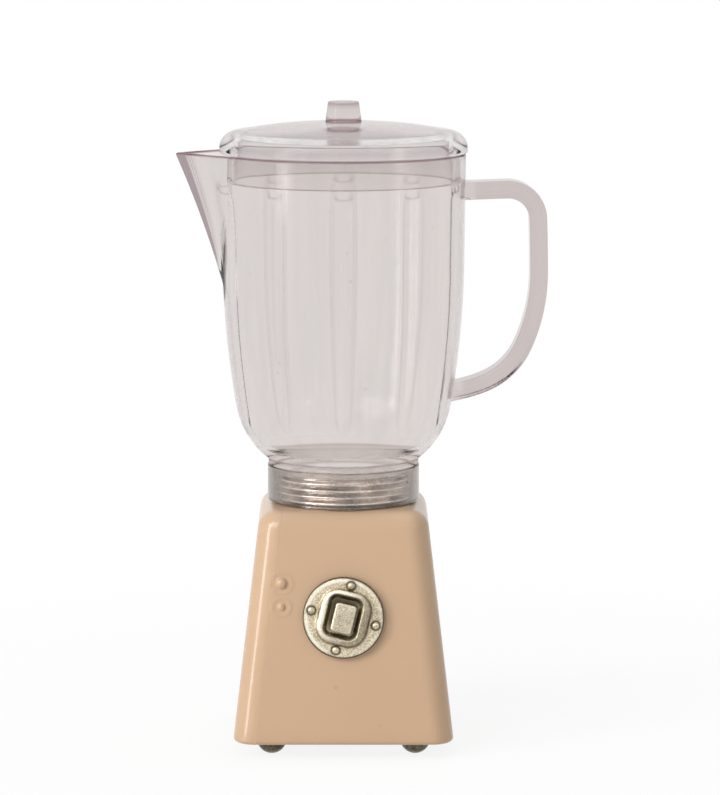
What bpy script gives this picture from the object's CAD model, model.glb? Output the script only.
"""Miniature toy blender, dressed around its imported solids.

Shapes are worked out in millimetres in the part's own frame and written to the meshes in metres.
+Z is up along the jar's axis, +X is the handle side and -Y is the front with the dial.
"""

from __future__ import annotations

import logging
import math
from dataclasses import dataclass, field
from enum import Enum

import bpy
import numpy as np
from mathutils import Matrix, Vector

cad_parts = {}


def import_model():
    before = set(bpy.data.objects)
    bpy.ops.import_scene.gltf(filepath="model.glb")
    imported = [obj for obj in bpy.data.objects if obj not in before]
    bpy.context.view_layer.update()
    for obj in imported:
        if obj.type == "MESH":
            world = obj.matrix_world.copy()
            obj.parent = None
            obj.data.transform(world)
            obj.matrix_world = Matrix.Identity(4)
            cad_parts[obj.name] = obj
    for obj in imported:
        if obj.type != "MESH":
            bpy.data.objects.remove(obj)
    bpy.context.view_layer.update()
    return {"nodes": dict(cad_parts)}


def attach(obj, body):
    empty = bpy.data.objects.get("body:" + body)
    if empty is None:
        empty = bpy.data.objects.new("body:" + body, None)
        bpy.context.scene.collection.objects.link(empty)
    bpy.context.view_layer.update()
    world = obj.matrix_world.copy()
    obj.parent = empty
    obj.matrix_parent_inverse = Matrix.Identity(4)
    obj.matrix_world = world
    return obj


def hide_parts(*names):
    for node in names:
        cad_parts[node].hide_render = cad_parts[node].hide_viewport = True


log = logging.getLogger("toy_blender")

MM = 0.001
COLOUR_MIX_INPUTS = (0, 6, 7)
COLOUR_MIX_OUTPUT = 2
Point2 = tuple[float, float]
Point3 = tuple[float, float, float]
Colour = tuple[float, float, float]


class Body(Enum):
    """Moving bodies that a piece can ride on."""

    BASE = "base"
    DIAL = "dial"
    JAR = "jar"
    LID = "lid"


class Slot(Enum):
    """Material slots of the part's record."""

    ENAMEL = "enamel"
    DARK_METAL = "dark_metal"
    BRIGHT_METAL = "bright_metal"
    PEWTER = "pewter"
    CLEAR = "clear_plastic"


# Arrays and surfaces


def ease(low: float, high: float, x: np.ndarray) -> np.ndarray:
    """Smooth step: 0 below low, 1 above high, 3t^2 - 2t^3 between.

    Args:
        low: where the step starts.
        high: where it ends.
        x: values to step.

    Returns:
        The step's height for each value.
    """
    t = np.clip((x - low) / (high - low), 0.0, 1.0)
    return t * t * (3.0 - 2.0 * t)


def band(x: np.ndarray, middle: float, half: float) -> np.ndarray:
    """Bell of height 1 about a middle, exp(-(distance / half)^2)."""
    return np.exp(-(((x - middle) / half) ** 2))


def soft_min(a: np.ndarray, b: np.ndarray, blend: float) -> np.ndarray:
    """Least of two surfaces with a round valley: (a + b - sqrt((a - b)^2 + blend^2)) / 2."""
    return 0.5 * (a + b - np.sqrt((a - b) ** 2 + blend * blend))


def soft_max(a: np.ndarray, b: np.ndarray, blend: float) -> np.ndarray:
    """Greatest of two surfaces with a round ridge, the mirror of soft_min."""
    return -soft_min(-a, -b, blend)


def reach_of(grid: np.ndarray) -> np.ndarray:
    """Distance of points from the Z axis."""
    return np.hypot(grid[..., 0], grid[..., 1])


def quarter_turn(steps: int) -> np.ndarray:
    """Angles from 0 to a right angle."""
    return np.linspace(0.0, math.pi / 2.0, steps + 1)


class Chain:
    """Line in a plane, drawn piece by piece as sampled points."""

    def __init__(self, start: Point2) -> None:
        """Start the line at a point."""
        self.parts: list[np.ndarray] = [np.array([start], float)]
        self.heading = np.array([0.0, 0.0])

    def line(self, end: Point2, steps: int) -> Chain:
        """Run straight to a point.

        Args:
            end: the point reached.
            steps: how many pieces the run is cut into.

        Returns:
            The chain itself.
        """
        start = self.parts[-1][-1]
        run = np.array(end, float) - start
        share = np.linspace(0.0, 1.0, steps + 1)[1:, None]
        self.parts.append(start + run * share)
        self.heading = run / np.linalg.norm(run)
        return self

    def bend(self, end: Point2, steps: int) -> Chain:
        """Run on in line along the one arc that leaves along the heading and reaches a point.

        The arc's radius is chord^2 / (2 * heading x chord), and a point at angle t is
        start + heading * R sin t + left * R (1 - cos t).

        Args:
            end: the point reached.
            steps: how many pieces the arc is cut into.

        Returns:
            The chain itself.
        """
        start = self.parts[-1][-1]
        chord = np.array(end, float) - start
        ahead = self.heading
        left = np.array([-ahead[1], ahead[0]])
        side, along = float(left @ chord), float(ahead @ chord)
        if abs(side) < 1e-9:
            return self.line(end, steps)
        radius = float(chord @ chord) / (2.0 * side)
        sweep = 2.0 * math.atan2(side, along)
        t = np.linspace(0.0, sweep, steps + 1)[1:, None]
        self.parts.append(start + ahead * (radius * np.sin(t)) + left * (radius * (1.0 - np.cos(t))))
        self.heading = ahead * math.cos(sweep) + left * math.sin(sweep)
        return self

    def points(self) -> np.ndarray:
        """All points so far, one row each."""
        return np.concatenate(self.parts)


def softened(corners: list[Point2], radii: list[float], steps: int = 5) -> np.ndarray:
    """Line through corners, each one cut by a curve that starts and ends a radius from it.

    The curve is start (1-t)^2 + corner 2t(1-t) + end t^2. A further point stands a little before
    and after it, so that a flat run beside it stays flat in the light.

    Args:
        corners: the corners in order, the first and last of them kept as ends.
        radii: the radius for each corner, 0 for a sharp one.
        steps: how many pieces each curve is cut into.

    Returns:
        The line's points.
    """
    rows: list[np.ndarray] = [np.array([corners[0]], float)]
    t = np.linspace(0.0, 1.0, steps + 1)[:, None]
    for number in range(1, len(corners) - 1):
        before, corner, after = (np.array(corners[number + step], float) for step in (-1, 0, 1))
        back, on = before - corner, after - corner
        back_length, on_length = np.linalg.norm(back), np.linalg.norm(on)
        radius = min(radii[number], 0.45 * back_length, 0.45 * on_length)
        if radius <= 0.0:
            rows.append(corner[None])
            continue
        start, end = corner + back * radius / back_length, corner + on * radius / on_length
        if back_length > 3.0 * radius:
            rows.append((corner + back * 1.5 * radius / back_length)[None])
        rows.append(start * (1 - t) ** 2 + corner * 2 * t * (1 - t) + end * t * t)
        if on_length > 3.0 * radius:
            rows.append((corner + on * 1.5 * radius / on_length)[None])
    rows.append(np.array([corners[-1]], float))
    return np.concatenate(rows)


@dataclass
class Skin:
    """Points, faces and masks of one closed surface or of several."""

    points: np.ndarray
    faces: list[list[int]]
    masks: dict[str, np.ndarray] = field(default_factory=dict)

    def with_other(self, other: Skin) -> Skin:
        """Both surfaces as one skin."""
        shift = len(self.points)
        shifted = [[index + shift for index in face] for face in other.faces]
        masks = {name: np.concatenate([mask, other.masks[name]]) for name, mask in self.masks.items()}
        return Skin(np.concatenate([self.points, other.points]), self.faces + shifted, masks)


def skin_of(
    grid: np.ndarray,
    masks: dict[str, np.ndarray] | None = None,
    start_pole: bool = True,
    end_pole: bool = True,
    looped: bool = False,
) -> Skin:
    """Close a grid of points into a surface.

    Columns go round and join up. Rows run along; a row that is a pole becomes one point with a fan
    of triangles, and looped rows join the last to the first.

    Args:
        grid: points as rows x columns x 3.
        masks: values on the same grid, by name.
        start_pole: whether the first row is one point.
        end_pole: whether the last row is one point.
        looped: whether the last row joins the first.

    Returns:
        The closed surface.
    """
    rows, columns = grid.shape[:2]
    keep = np.ones((rows, columns), bool)
    if start_pole:
        keep[0, 1:] = False
    if end_pole:
        keep[-1, 1:] = False
    number = np.cumsum(keep.ravel()).reshape(rows, columns) - 1
    if start_pole:
        number[0] = number[0, 0]
    if end_pole:
        number[-1] = number[-1, 0]
    low = number if looped else number[:-1]
    high = np.roll(number, -1, axis=0) if looped else number[1:]
    quads = np.stack([low, np.roll(low, -1, 1), np.roll(high, -1, 1), high], axis=-1)
    faces: list[list[int]] = []
    if start_pole:
        faces += quads[0][:, [0, 2, 3]].tolist()
        quads = quads[1:]
    if end_pole:
        faces += quads[-1][:, [0, 1, 2]].tolist()
        quads = quads[:-1]
    faces += quads.reshape(-1, 4).tolist()
    flat = {name: np.broadcast_to(mask, keep.shape)[keep] for name, mask in (masks or {}).items()}
    return Skin(grid[keep], faces, flat)


def turned(profile: np.ndarray, columns: int) -> np.ndarray:
    """Turn a profile of (radius, height) rows about Z: (r cos a, r sin a, z).

    Args:
        profile: the profile's rows, going up outside and down inside.
        columns: points round the axis.

    Returns:
        Points as rows x columns x 3.
    """
    angle = np.linspace(0.0, 2.0 * math.pi, columns, endpoint=False)[None, :]
    radius, height = profile[:, :1], profile[:, 1:]
    return np.stack(np.broadcast_arrays(radius * np.cos(angle), radius * np.sin(angle), height), axis=-1)


def pole(height: float, columns: int) -> np.ndarray:
    """Row of a grid that is one point on the Z axis."""
    return np.broadcast_to([0.0, 0.0, height], (1, columns, 3))


def stacked(outline: np.ndarray, height: np.ndarray) -> np.ndarray:
    """Grid of flat outlines, one per row, each set at its height."""
    level = np.broadcast_to(height[:, None, None], (*outline.shape[:2], 1))
    return np.concatenate([outline, level], axis=2)


@dataclass(frozen=True)
class Loop:
    """Rounded rectangle, as corner places and outward directions.

    A point is place * (half - radius) + out * radius.
    """

    place: np.ndarray
    out: np.ndarray

    @staticmethod
    def of(flat: np.ndarray, corner_steps: int, dense_front: np.ndarray | None = None) -> Loop:
        """Lay the columns round the rectangle anticlockwise, from the front's left end.

        Args:
            flat: shares between -1 and 1 along each flat side, ends left out.
            corner_steps: pieces in each corner.
            dense_front: shares for the front side, where it needs more.

        Returns:
            The loop.
        """
        places: list[np.ndarray] = []
        outs: list[np.ndarray] = []
        for side in range(4):
            turn = side * math.pi / 2.0
            spin = np.array([[math.cos(turn), math.sin(turn)], [-math.sin(turn), math.cos(turn)]])
            share = dense_front if side == 0 and dense_front is not None else flat
            along = np.stack([share, -np.ones_like(share)], axis=1)
            angle = np.linspace(-math.pi / 2.0, 0.0, corner_steps + 1)
            corner = np.tile([[1.0, -1.0]], (corner_steps + 1, 1))
            places += [along @ spin, corner @ spin]
            outs += [
                np.tile([[0.0, -1.0]], (len(share), 1)) @ spin,
                np.stack([np.cos(angle), np.sin(angle)], axis=1) @ spin,
            ]
        return Loop(np.concatenate(places), np.concatenate(outs))

    def at(self, half_across: np.ndarray, half_up: np.ndarray, radius: np.ndarray) -> np.ndarray:
        """Points of the rectangle for rows of half sizes and corner radii.

        Args:
            half_across: half widths, one per row.
            half_up: half lengths, one per row.
            radius: corner radii, one per row.

        Returns:
            Points as rows x columns x 2.
        """
        half = np.stack([half_across - radius, half_up - radius], axis=1)[:, None, :]
        return self.place[None] * half + self.out[None] * radius[:, None, None]


def show(name: str, skin: Skin, material: bpy.types.Material, body: Body, slot: Slot, *nodes: str) -> None:
    """Make a surface a piece of the object, in place of the solids it stands for.

    Args:
        name: the piece's name.
        skin: its surface in millimetres.
        material: its finish.
        body: the body it moves with.
        slot: the record's slot its finish belongs to.
        nodes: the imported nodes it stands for.
    """
    mesh = bpy.data.meshes.new(name)
    mesh.from_pydata((skin.points * MM).tolist(), [], skin.faces)
    mesh.polygons.foreach_set("use_smooth", np.ones(len(mesh.polygons), bool))
    for word, mask in skin.masks.items():
        layer = mesh.attributes.new(word, "FLOAT", "POINT")
        layer.data.foreach_set("value", mask.astype(np.float32))
    mesh.materials.append(material)
    mesh.update()
    piece = bpy.data.objects.new(name, mesh)
    bpy.context.scene.collection.objects.link(piece)
    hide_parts(*nodes)
    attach(piece, body.value)
    log.info("%s: %d points, %d faces, for %s", name, len(skin.points), len(skin.faces), ", ".join(nodes))


def dress(node: bpy.types.Object, material: bpy.types.Material) -> None:
    """Give a carried-over solid its finish."""
    node.data.materials.clear()
    node.data.materials.append(material)
    log.info("%s: dressed in %s", node.name, material.name)


# Shader building


class Tree:
    """Node tree of a material, world or group, with short words for what is built in it."""

    def __init__(self, nodes: bpy.types.NodeTree) -> None:
        """Take a node tree to build in."""
        self.tree = nodes

    def node(self, kind: str, **settings: object) -> bpy.types.Node:
        """Add a node and set its properties."""
        made = self.tree.nodes.new(kind)
        for name, setting in settings.items():
            setattr(made, name, setting)
        return made

    def feed(self, socket: bpy.types.NodeSocket, given: object) -> None:
        """Link a socket to another, or set its value."""
        if isinstance(given, bpy.types.NodeSocket):
            self.tree.links.new(given, socket)
        elif isinstance(given, tuple) and len(given) == 3 and len(socket.default_value) == 4:
            socket.default_value = (*given, 1.0)
        else:
            socket.default_value = given

    def math(self, operation: str, *values: object) -> bpy.types.NodeSocket:
        """Result of an operation on one or two values."""
        made = self.node("ShaderNodeMath", operation=operation)
        for socket, given in zip(made.inputs, values):
            self.feed(socket, given)
        return made.outputs[0]

    def mix(self, share: object, first: object, second: object) -> bpy.types.NodeSocket:
        """Blend two colours by a share.

        Args:
            share: 0 for the first, 1 for the second.
            first: a colour or socket.
            second: a colour or socket.

        Returns:
            The colour's socket.
        """
        made = self.node("ShaderNodeMix", data_type="RGBA")
        for number, given in zip(COLOUR_MIX_INPUTS, (share, first, second)):
            self.feed(made.inputs[number], given)
        return made.outputs[COLOUR_MIX_OUTPUT]

    def span(
        self, given: object, low: float, high: float, start: float = 0.0, end: float = 1.0
    ) -> bpy.types.NodeSocket:
        """Map a value from one range to another, with no overshoot.

        Args:
            given: the value.
            low: the value that gives start.
            high: the value that gives end.
            start: result at low.
            end: result at high.

        Returns:
            The result's socket.
        """
        made = self.node("ShaderNodeMapRange", clamp=True)
        for socket, number in zip(made.inputs, (given, low, high, start, end)):
            self.feed(socket, number)
        return made.outputs[0]

    def noise(self, place: object, scale: object, detail: float, rough: float) -> bpy.types.NodeSocket:
        """Noise value about 0.5.

        Args:
            place: the coordinates.
            scale: waves to a metre.
            detail: finer layers.
            rough: how strong they are.

        Returns:
            The value's socket.
        """
        made = self.node("ShaderNodeTexNoise")
        for word, given in (("Vector", place), ("Scale", scale), ("Detail", detail), ("Roughness", rough)):
            self.feed(made.inputs[word], given)
        return made.outputs["Fac"]

    def place(self) -> bpy.types.NodeSocket:
        """The piece's own coordinates."""
        return self.node("ShaderNodeTexCoord").outputs["Object"]

    def stretched(self, squeeze: Point3) -> bpy.types.NodeSocket:
        """The piece's own coordinates, scaled along each axis."""
        mapping = self.node("ShaderNodeMapping")
        self.feed(mapping.inputs["Vector"], self.place())
        self.feed(mapping.inputs["Scale"], squeeze)
        return mapping.outputs[0]

    def cells(self, place: object, scale: object) -> bpy.types.NodeSocket:
        """Distance to the nearest of some scattered points."""
        made = self.node("ShaderNodeTexVoronoi")
        self.feed(made.inputs["Vector"], place)
        self.feed(made.inputs["Scale"], scale)
        return made.outputs["Distance"]

    def mask(self, name: str) -> bpy.types.NodeSocket:
        """Value that a mesh holds at its points."""
        return self.node("ShaderNodeAttribute", attribute_name=name).outputs["Fac"]

    def group(self, kind: bpy.types.NodeTree, **given: object) -> bpy.types.Node:
        """Place a shared effect with its own values."""
        made = self.node("ShaderNodeGroup", node_tree=kind)
        for name, setting in given.items():
            self.feed(made.inputs[name.replace("_", " ").capitalize()], setting)
        return made

    def relief(self, height: object, strength: float, depth: float) -> bpy.types.NodeSocket:
        """Normal of a surface with a fine relief.

        Args:
            height: the relief's height from 0 to 1.
            strength: how much of it shows.
            depth: how deep it is, in metres.

        Returns:
            The normal's socket.
        """
        made = self.node("ShaderNodeBump")
        self.feed(made.inputs["Strength"], strength)
        self.feed(made.inputs["Distance"], depth)
        self.feed(made.inputs["Height"], height)
        return made.outputs["Normal"]


def new_group(name: str, inputs: dict[str, float], outputs: list[str]) -> tuple[Tree, dict, bpy.types.Node]:
    """Start a shared effect with named values in and out.

    Args:
        name: the group's name.
        inputs: names of the values in, with their defaults.
        outputs: names of the values out.

    Returns:
        The tree, its inputs by name and its output node.
    """
    group = bpy.data.node_groups.new(name, "ShaderNodeTree")
    for word, number in inputs.items():
        socket = group.interface.new_socket(word, in_out="INPUT", socket_type="NodeSocketFloat")
        socket.default_value = number
    for word in outputs:
        group.interface.new_socket(word, in_out="OUTPUT", socket_type="NodeSocketFloat")
    tree = Tree(group)
    start, end = tree.node("NodeGroupInput"), tree.node("NodeGroupOutput")
    return tree, {word: start.outputs[word] for word in inputs}, end


@dataclass(frozen=True)
class CastGrain:
    """Sandy skin of a small metal casting: a fine relief, bright flecks and cloudy tarnish."""

    def build(self) -> bpy.types.NodeTree:
        """Make the shared effect once."""
        outputs = ["Height", "Sand", "Fleck", "Tarnish"]
        tree, given, end = new_group("cast_grain", {"Grain": 5000.0, "Cloud": 500.0}, outputs)
        place = tree.place()
        fine = tree.noise(place, given["Grain"], 3.0, 0.65)
        coarse = tree.noise(place, given["Cloud"], 4.0, 0.6)
        fleck = tree.cells(place, given["Grain"])
        tree.feed(end.inputs["Height"], tree.math("ADD", fine, tree.math("MULTIPLY", coarse, 0.5)))
        tree.feed(end.inputs["Sand"], tree.span(fine, 0.38, 0.62))
        tree.feed(end.inputs["Fleck"], tree.span(fleck, 0.32, 0.1))
        tree.feed(end.inputs["Tarnish"], tree.span(coarse, 0.42, 0.68))
        return tree.tree


@dataclass(frozen=True)
class MouldMarks:
    """What moulding leaves in clear plastic: upright flow streaks, a slow wave and dark specks."""

    upright: Point3 = (1.0, 1.0, 0.03)

    def build(self) -> bpy.types.NodeTree:
        """Make the shared effect once."""
        outputs = ["Streaks", "Wave", "Specks"]
        tree, given, end = new_group("mould_marks", {"Streak": 500.0, "Speck": 420.0}, outputs)
        place = tree.place()
        streaks = tree.noise(tree.stretched(self.upright), given["Streak"], 3.0, 0.55)
        speck = tree.span(tree.cells(place, given["Speck"]), 0.085, 0.05)
        rare = tree.math("GREATER_THAN", tree.noise(place, 150.0, 0.0, 0.5), 0.6)
        tree.feed(end.inputs["Streaks"], tree.span(streaks, 0.35, 0.7))
        tree.feed(end.inputs["Wave"], tree.noise(place, 120.0, 1.0, 0.4))
        tree.feed(end.inputs["Specks"], tree.math("MULTIPLY", speck, rare))
        return tree.tree


@dataclass(frozen=True)
class Effects:
    """Shared effects, each built once."""

    grain: bpy.types.NodeTree
    marks: bpy.types.NodeTree


def new_material(name: str) -> tuple[bpy.types.Material, Tree, bpy.types.Node]:
    """Start a material.

    Args:
        name: its name.

    Returns:
        The material, its tree and its surface shader.
    """
    material = bpy.data.materials.new(name)
    material.use_nodes = True
    tree = Tree(material.node_tree)
    return material, tree, material.node_tree.nodes["Principled BSDF"]


@dataclass(frozen=True)
class Enamel:
    """Thick glossy enamel, a little lighter where it thins over edges, with a faint orange-peel wave."""

    colour: Colour = (0.545, 0.365, 0.228)
    pooled: Colour = (0.49, 0.317, 0.19)
    thinned: Colour = (0.61, 0.43, 0.292)
    speck: Colour = (0.32, 0.2, 0.13)
    roughness: Point2 = (0.34, 0.42)
    peel: float = 0.00006

    def make(self, effects: Effects) -> bpy.types.Material:
        """Build the finish."""
        material, tree, shader = new_material("peach_enamel")
        place = tree.stretched((1.0, 1.0, 0.6))
        cloud = tree.span(tree.noise(place, 55.0, 2.0, 0.5), 0.35, 0.7)
        colour = tree.mix(tree.math("MULTIPLY", cloud, 0.35), self.colour, self.pooled)
        colour = tree.mix(tree.mask("edge"), colour, self.thinned)
        colour = tree.mix(tree.mask("pool"), colour, self.pooled)
        specks = tree.group(effects.marks, streak=500.0, speck=260.0)
        colour = tree.mix(tree.math("MULTIPLY", specks.outputs["Specks"], 0.3), colour, self.speck)
        tree.feed(shader.inputs["Base Color"], colour)
        tree.feed(shader.inputs["Roughness"], tree.span(cloud, 0.0, 1.0, *self.roughness))
        tree.feed(shader.inputs["IOR"], 1.4)
        tree.feed(shader.inputs["Coat Weight"], 0.45)
        tree.feed(shader.inputs["Coat Roughness"], 0.08)
        peel = tree.noise(tree.place(), 320.0, 1.0, 0.4)
        tree.feed(shader.inputs["Normal"], tree.relief(peel, 0.25, self.peel))
        return material


@dataclass(frozen=True)
class Metal:
    """Cast or turned metal with tarnish in its hollows and worn high spots.

    Grit is how far sand grains are darker and lighter than the colour, and turning is how dark the
    fine rings of a lathe are.
    """

    name: str
    colour: Colour
    dark: Colour
    bright: Colour
    roughness: float
    grain: float
    cloud: float
    relief: float
    tarnish: float
    grit: float = 0.3
    has_masks: bool = True
    turning: float = 0.0
    rings: Point3 = (0.12, 0.12, 1.0)
    dulled: float = 0.22

    def make(self, effects: Effects) -> bpy.types.Material:
        """Build the finish."""
        material, tree, shader = new_material(self.name)
        cast = tree.group(effects.grain, grain=self.grain, cloud=self.cloud)
        tarnish = tree.math("MULTIPLY", cast.outputs["Tarnish"], self.tarnish)
        low, high = (tuple(part * (1.0 + side * self.grit) for part in self.colour) for side in (-1, 1))
        colour = tree.mix(tarnish, tree.mix(cast.outputs["Sand"], low, high), self.dark)
        colour = tree.mix(tree.math("MULTIPLY", cast.outputs["Fleck"], 0.35), colour, self.bright)
        if self.turning:
            rings = tree.noise(tree.stretched(self.rings), 2600.0, 3.0, 0.6)
            colour = tree.mix(tree.span(rings, 0.4, 0.62, 0.0, self.turning), colour, self.dark)
        if self.has_masks:
            colour = tree.mix(tree.mask("worn"), colour, self.bright)
            colour = tree.mix(tree.mask("hollow"), colour, self.dark)
        tree.feed(shader.inputs["Base Color"], colour)
        tree.feed(shader.inputs["Metallic"], 1.0)
        rough = tree.span(tarnish, 0.0, 1.0, self.roughness, self.roughness + self.dulled)
        tree.feed(shader.inputs["Roughness"], rough)
        tree.feed(shader.inputs["Normal"], tree.relief(cast.outputs["Height"], 0.8, self.relief))
        return material


@dataclass(frozen=True)
class ClearPlastic:
    """Clear moulded plastic with a warm grey tint, mauve at its edges and dark along its seams.

    Where a mesh is marked calm, it bends light less, so that thick corners stay as light as the
    walls beside them. Where it is marked frost, it is rough, as round a moulding gate, and where
    it is marked clear, it takes less light.
    """

    name: str
    tint: Colour
    edge: Colour = (0.66, 0.60, 0.61)
    edge_from: float = 0.7
    edge_to: float = 1.0
    smoke: Colour = (0.34, 0.27, 0.29)
    seam: Colour = (0.12, 0.03, 0.05)
    joint: Colour = (0.2, 0.1, 0.06)
    clear: Colour = (0.985, 0.975, 0.97)
    coat: float = 0.12
    refraction: float = 1.14
    roughness: float = 0.09
    calm_refraction: float = 1.02
    frosted: float = 0.6
    streaks: float = 0.6
    wave: float = 0.00004
    streak_share: Colour = (0.9, 0.915, 0.92)
    speck: Colour = (0.2, 0.16, 0.13)

    def make(self, effects: Effects) -> bpy.types.Material:
        """Build the finish."""
        material, tree, shader = new_material(self.name)
        marks = tree.group(effects.marks, streak=420.0, speck=380.0)
        facing = tree.node("ShaderNodeLayerWeight")
        tree.feed(facing.inputs["Blend"], 0.5)
        rim = tree.span(facing.outputs["Facing"], self.edge_from, self.edge_to)
        darker = tuple(part * share for part, share in zip(self.tint, self.streak_share))
        streaks = marks.outputs["Streaks"]
        colour = tree.mix(tree.math("MULTIPLY", streaks, self.streaks), self.tint, darker)
        colour = tree.mix(rim, colour, self.edge)
        colour = tree.mix(tree.math("MULTIPLY", marks.outputs["Specks"], 0.3), colour, self.speck)
        shades = {"clear": self.clear, "smoke": self.smoke, "seam": self.seam, "joint": self.joint}
        for name, shade in shades.items():
            colour = tree.mix(tree.mask(name), colour, shade)
        tree.feed(shader.inputs["Base Color"], colour)
        rough = tree.span(tree.mask("frost"), 0.0, 1.0, self.roughness, self.frosted)
        bending = tree.span(tree.mask("calm"), 0.0, 1.0, self.refraction, self.calm_refraction)
        tree.feed(shader.inputs["Roughness"], rough)
        tree.feed(shader.inputs["IOR"], bending)
        tree.feed(shader.inputs["Transmission Weight"], 1.0)
        tree.feed(shader.inputs["Coat Weight"], self.coat)
        tree.feed(shader.inputs["Coat Roughness"], 0.05)
        height = tree.math("ADD", marks.outputs["Wave"], tree.math("MULTIPLY", streaks, 0.25))
        tree.feed(shader.inputs["Normal"], tree.relief(height, 0.5, self.wave))
        return material


@dataclass(frozen=True)
class Finishes:
    """Every material of the object."""

    enamel: bpy.types.Material
    pewter: bpy.types.Material
    foot_metal: bpy.types.Material
    boss_metal: bpy.types.Material
    plain_dark: bpy.types.Material
    plain_bright: bpy.types.Material
    bowl: bpy.types.Material
    bar: bpy.types.Material
    ring: bpy.types.Material
    cap: bpy.types.Material
    pull: bpy.types.Material

    @staticmethod
    def make() -> Finishes:
        """Build the shared effects and every finish with them."""
        effects = Effects(CastGrain().build(), MouldMarks().build())
        pewter = Metal(
            "champagne_pewter", (0.6, 0.52, 0.37), (0.06, 0.044, 0.024), (0.97, 0.93, 0.82),
            0.32, 5000.0, 420.0, 0.00007, 0.35, 0.38,
        )
        foot = Metal(
            "dark_pewter", (0.115, 0.096, 0.064), (0.03, 0.026, 0.02), (0.42, 0.38, 0.3),
            0.32, 3000.0, 700.0, 0.00004, 0.5,
        )
        boss = Metal(
            "turned_metal", (0.9, 0.83, 0.76), (0.17, 0.125, 0.1), (1.0, 0.97, 0.93),
            0.2, 3000.0, 330.0, 0.00003, 0.5, 0.2, True, 0.45,
        )
        plain_dark = Metal(
            "plate_metal", (0.14, 0.115, 0.09), (0.04, 0.03, 0.024), (0.3, 0.27, 0.22),
            0.42, 2500.0, 300.0, 0.00004, 0.5, 0.3, False,
        )
        plain_bright = Metal(
            "fastener_metal", (0.52, 0.5, 0.46), (0.16, 0.14, 0.12), (0.8, 0.78, 0.75),
            0.32, 3500.0, 500.0, 0.00003, 0.35, 0.2, False,
        )
        bowl = ClearPlastic(
            "clear_bowl", (0.74, 0.69, 0.675), (0.6, 0.53, 0.53), 0.62, streaks=1.0, wave=0.00001
        )
        bar = ClearPlastic(
            "clear_handle", (0.61, 0.545, 0.535), (0.5, 0.43, 0.43), 0.6, refraction=1.09, wave=0.00001
        )
        ring = ClearPlastic(
            "clear_collar", (0.9, 0.87, 0.85), (0.1, 0.07, 0.055), 0.44, 0.58, refraction=1.49
        )
        cap = ClearPlastic("clear_lid", (0.88, 0.86, 0.855), (0.45, 0.37, 0.37), 0.62, 0.95)
        pull = ClearPlastic("clear_pull", (0.69, 0.63, 0.62), (0.45, 0.37, 0.37), 0.6, 0.95)
        kinds = (Enamel(), pewter, foot, boss, plain_dark, plain_bright, bowl, bar, ring, cap, pull)
        return Finishes(*(kind.make(effects) for kind in kinds))


# The base


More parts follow.
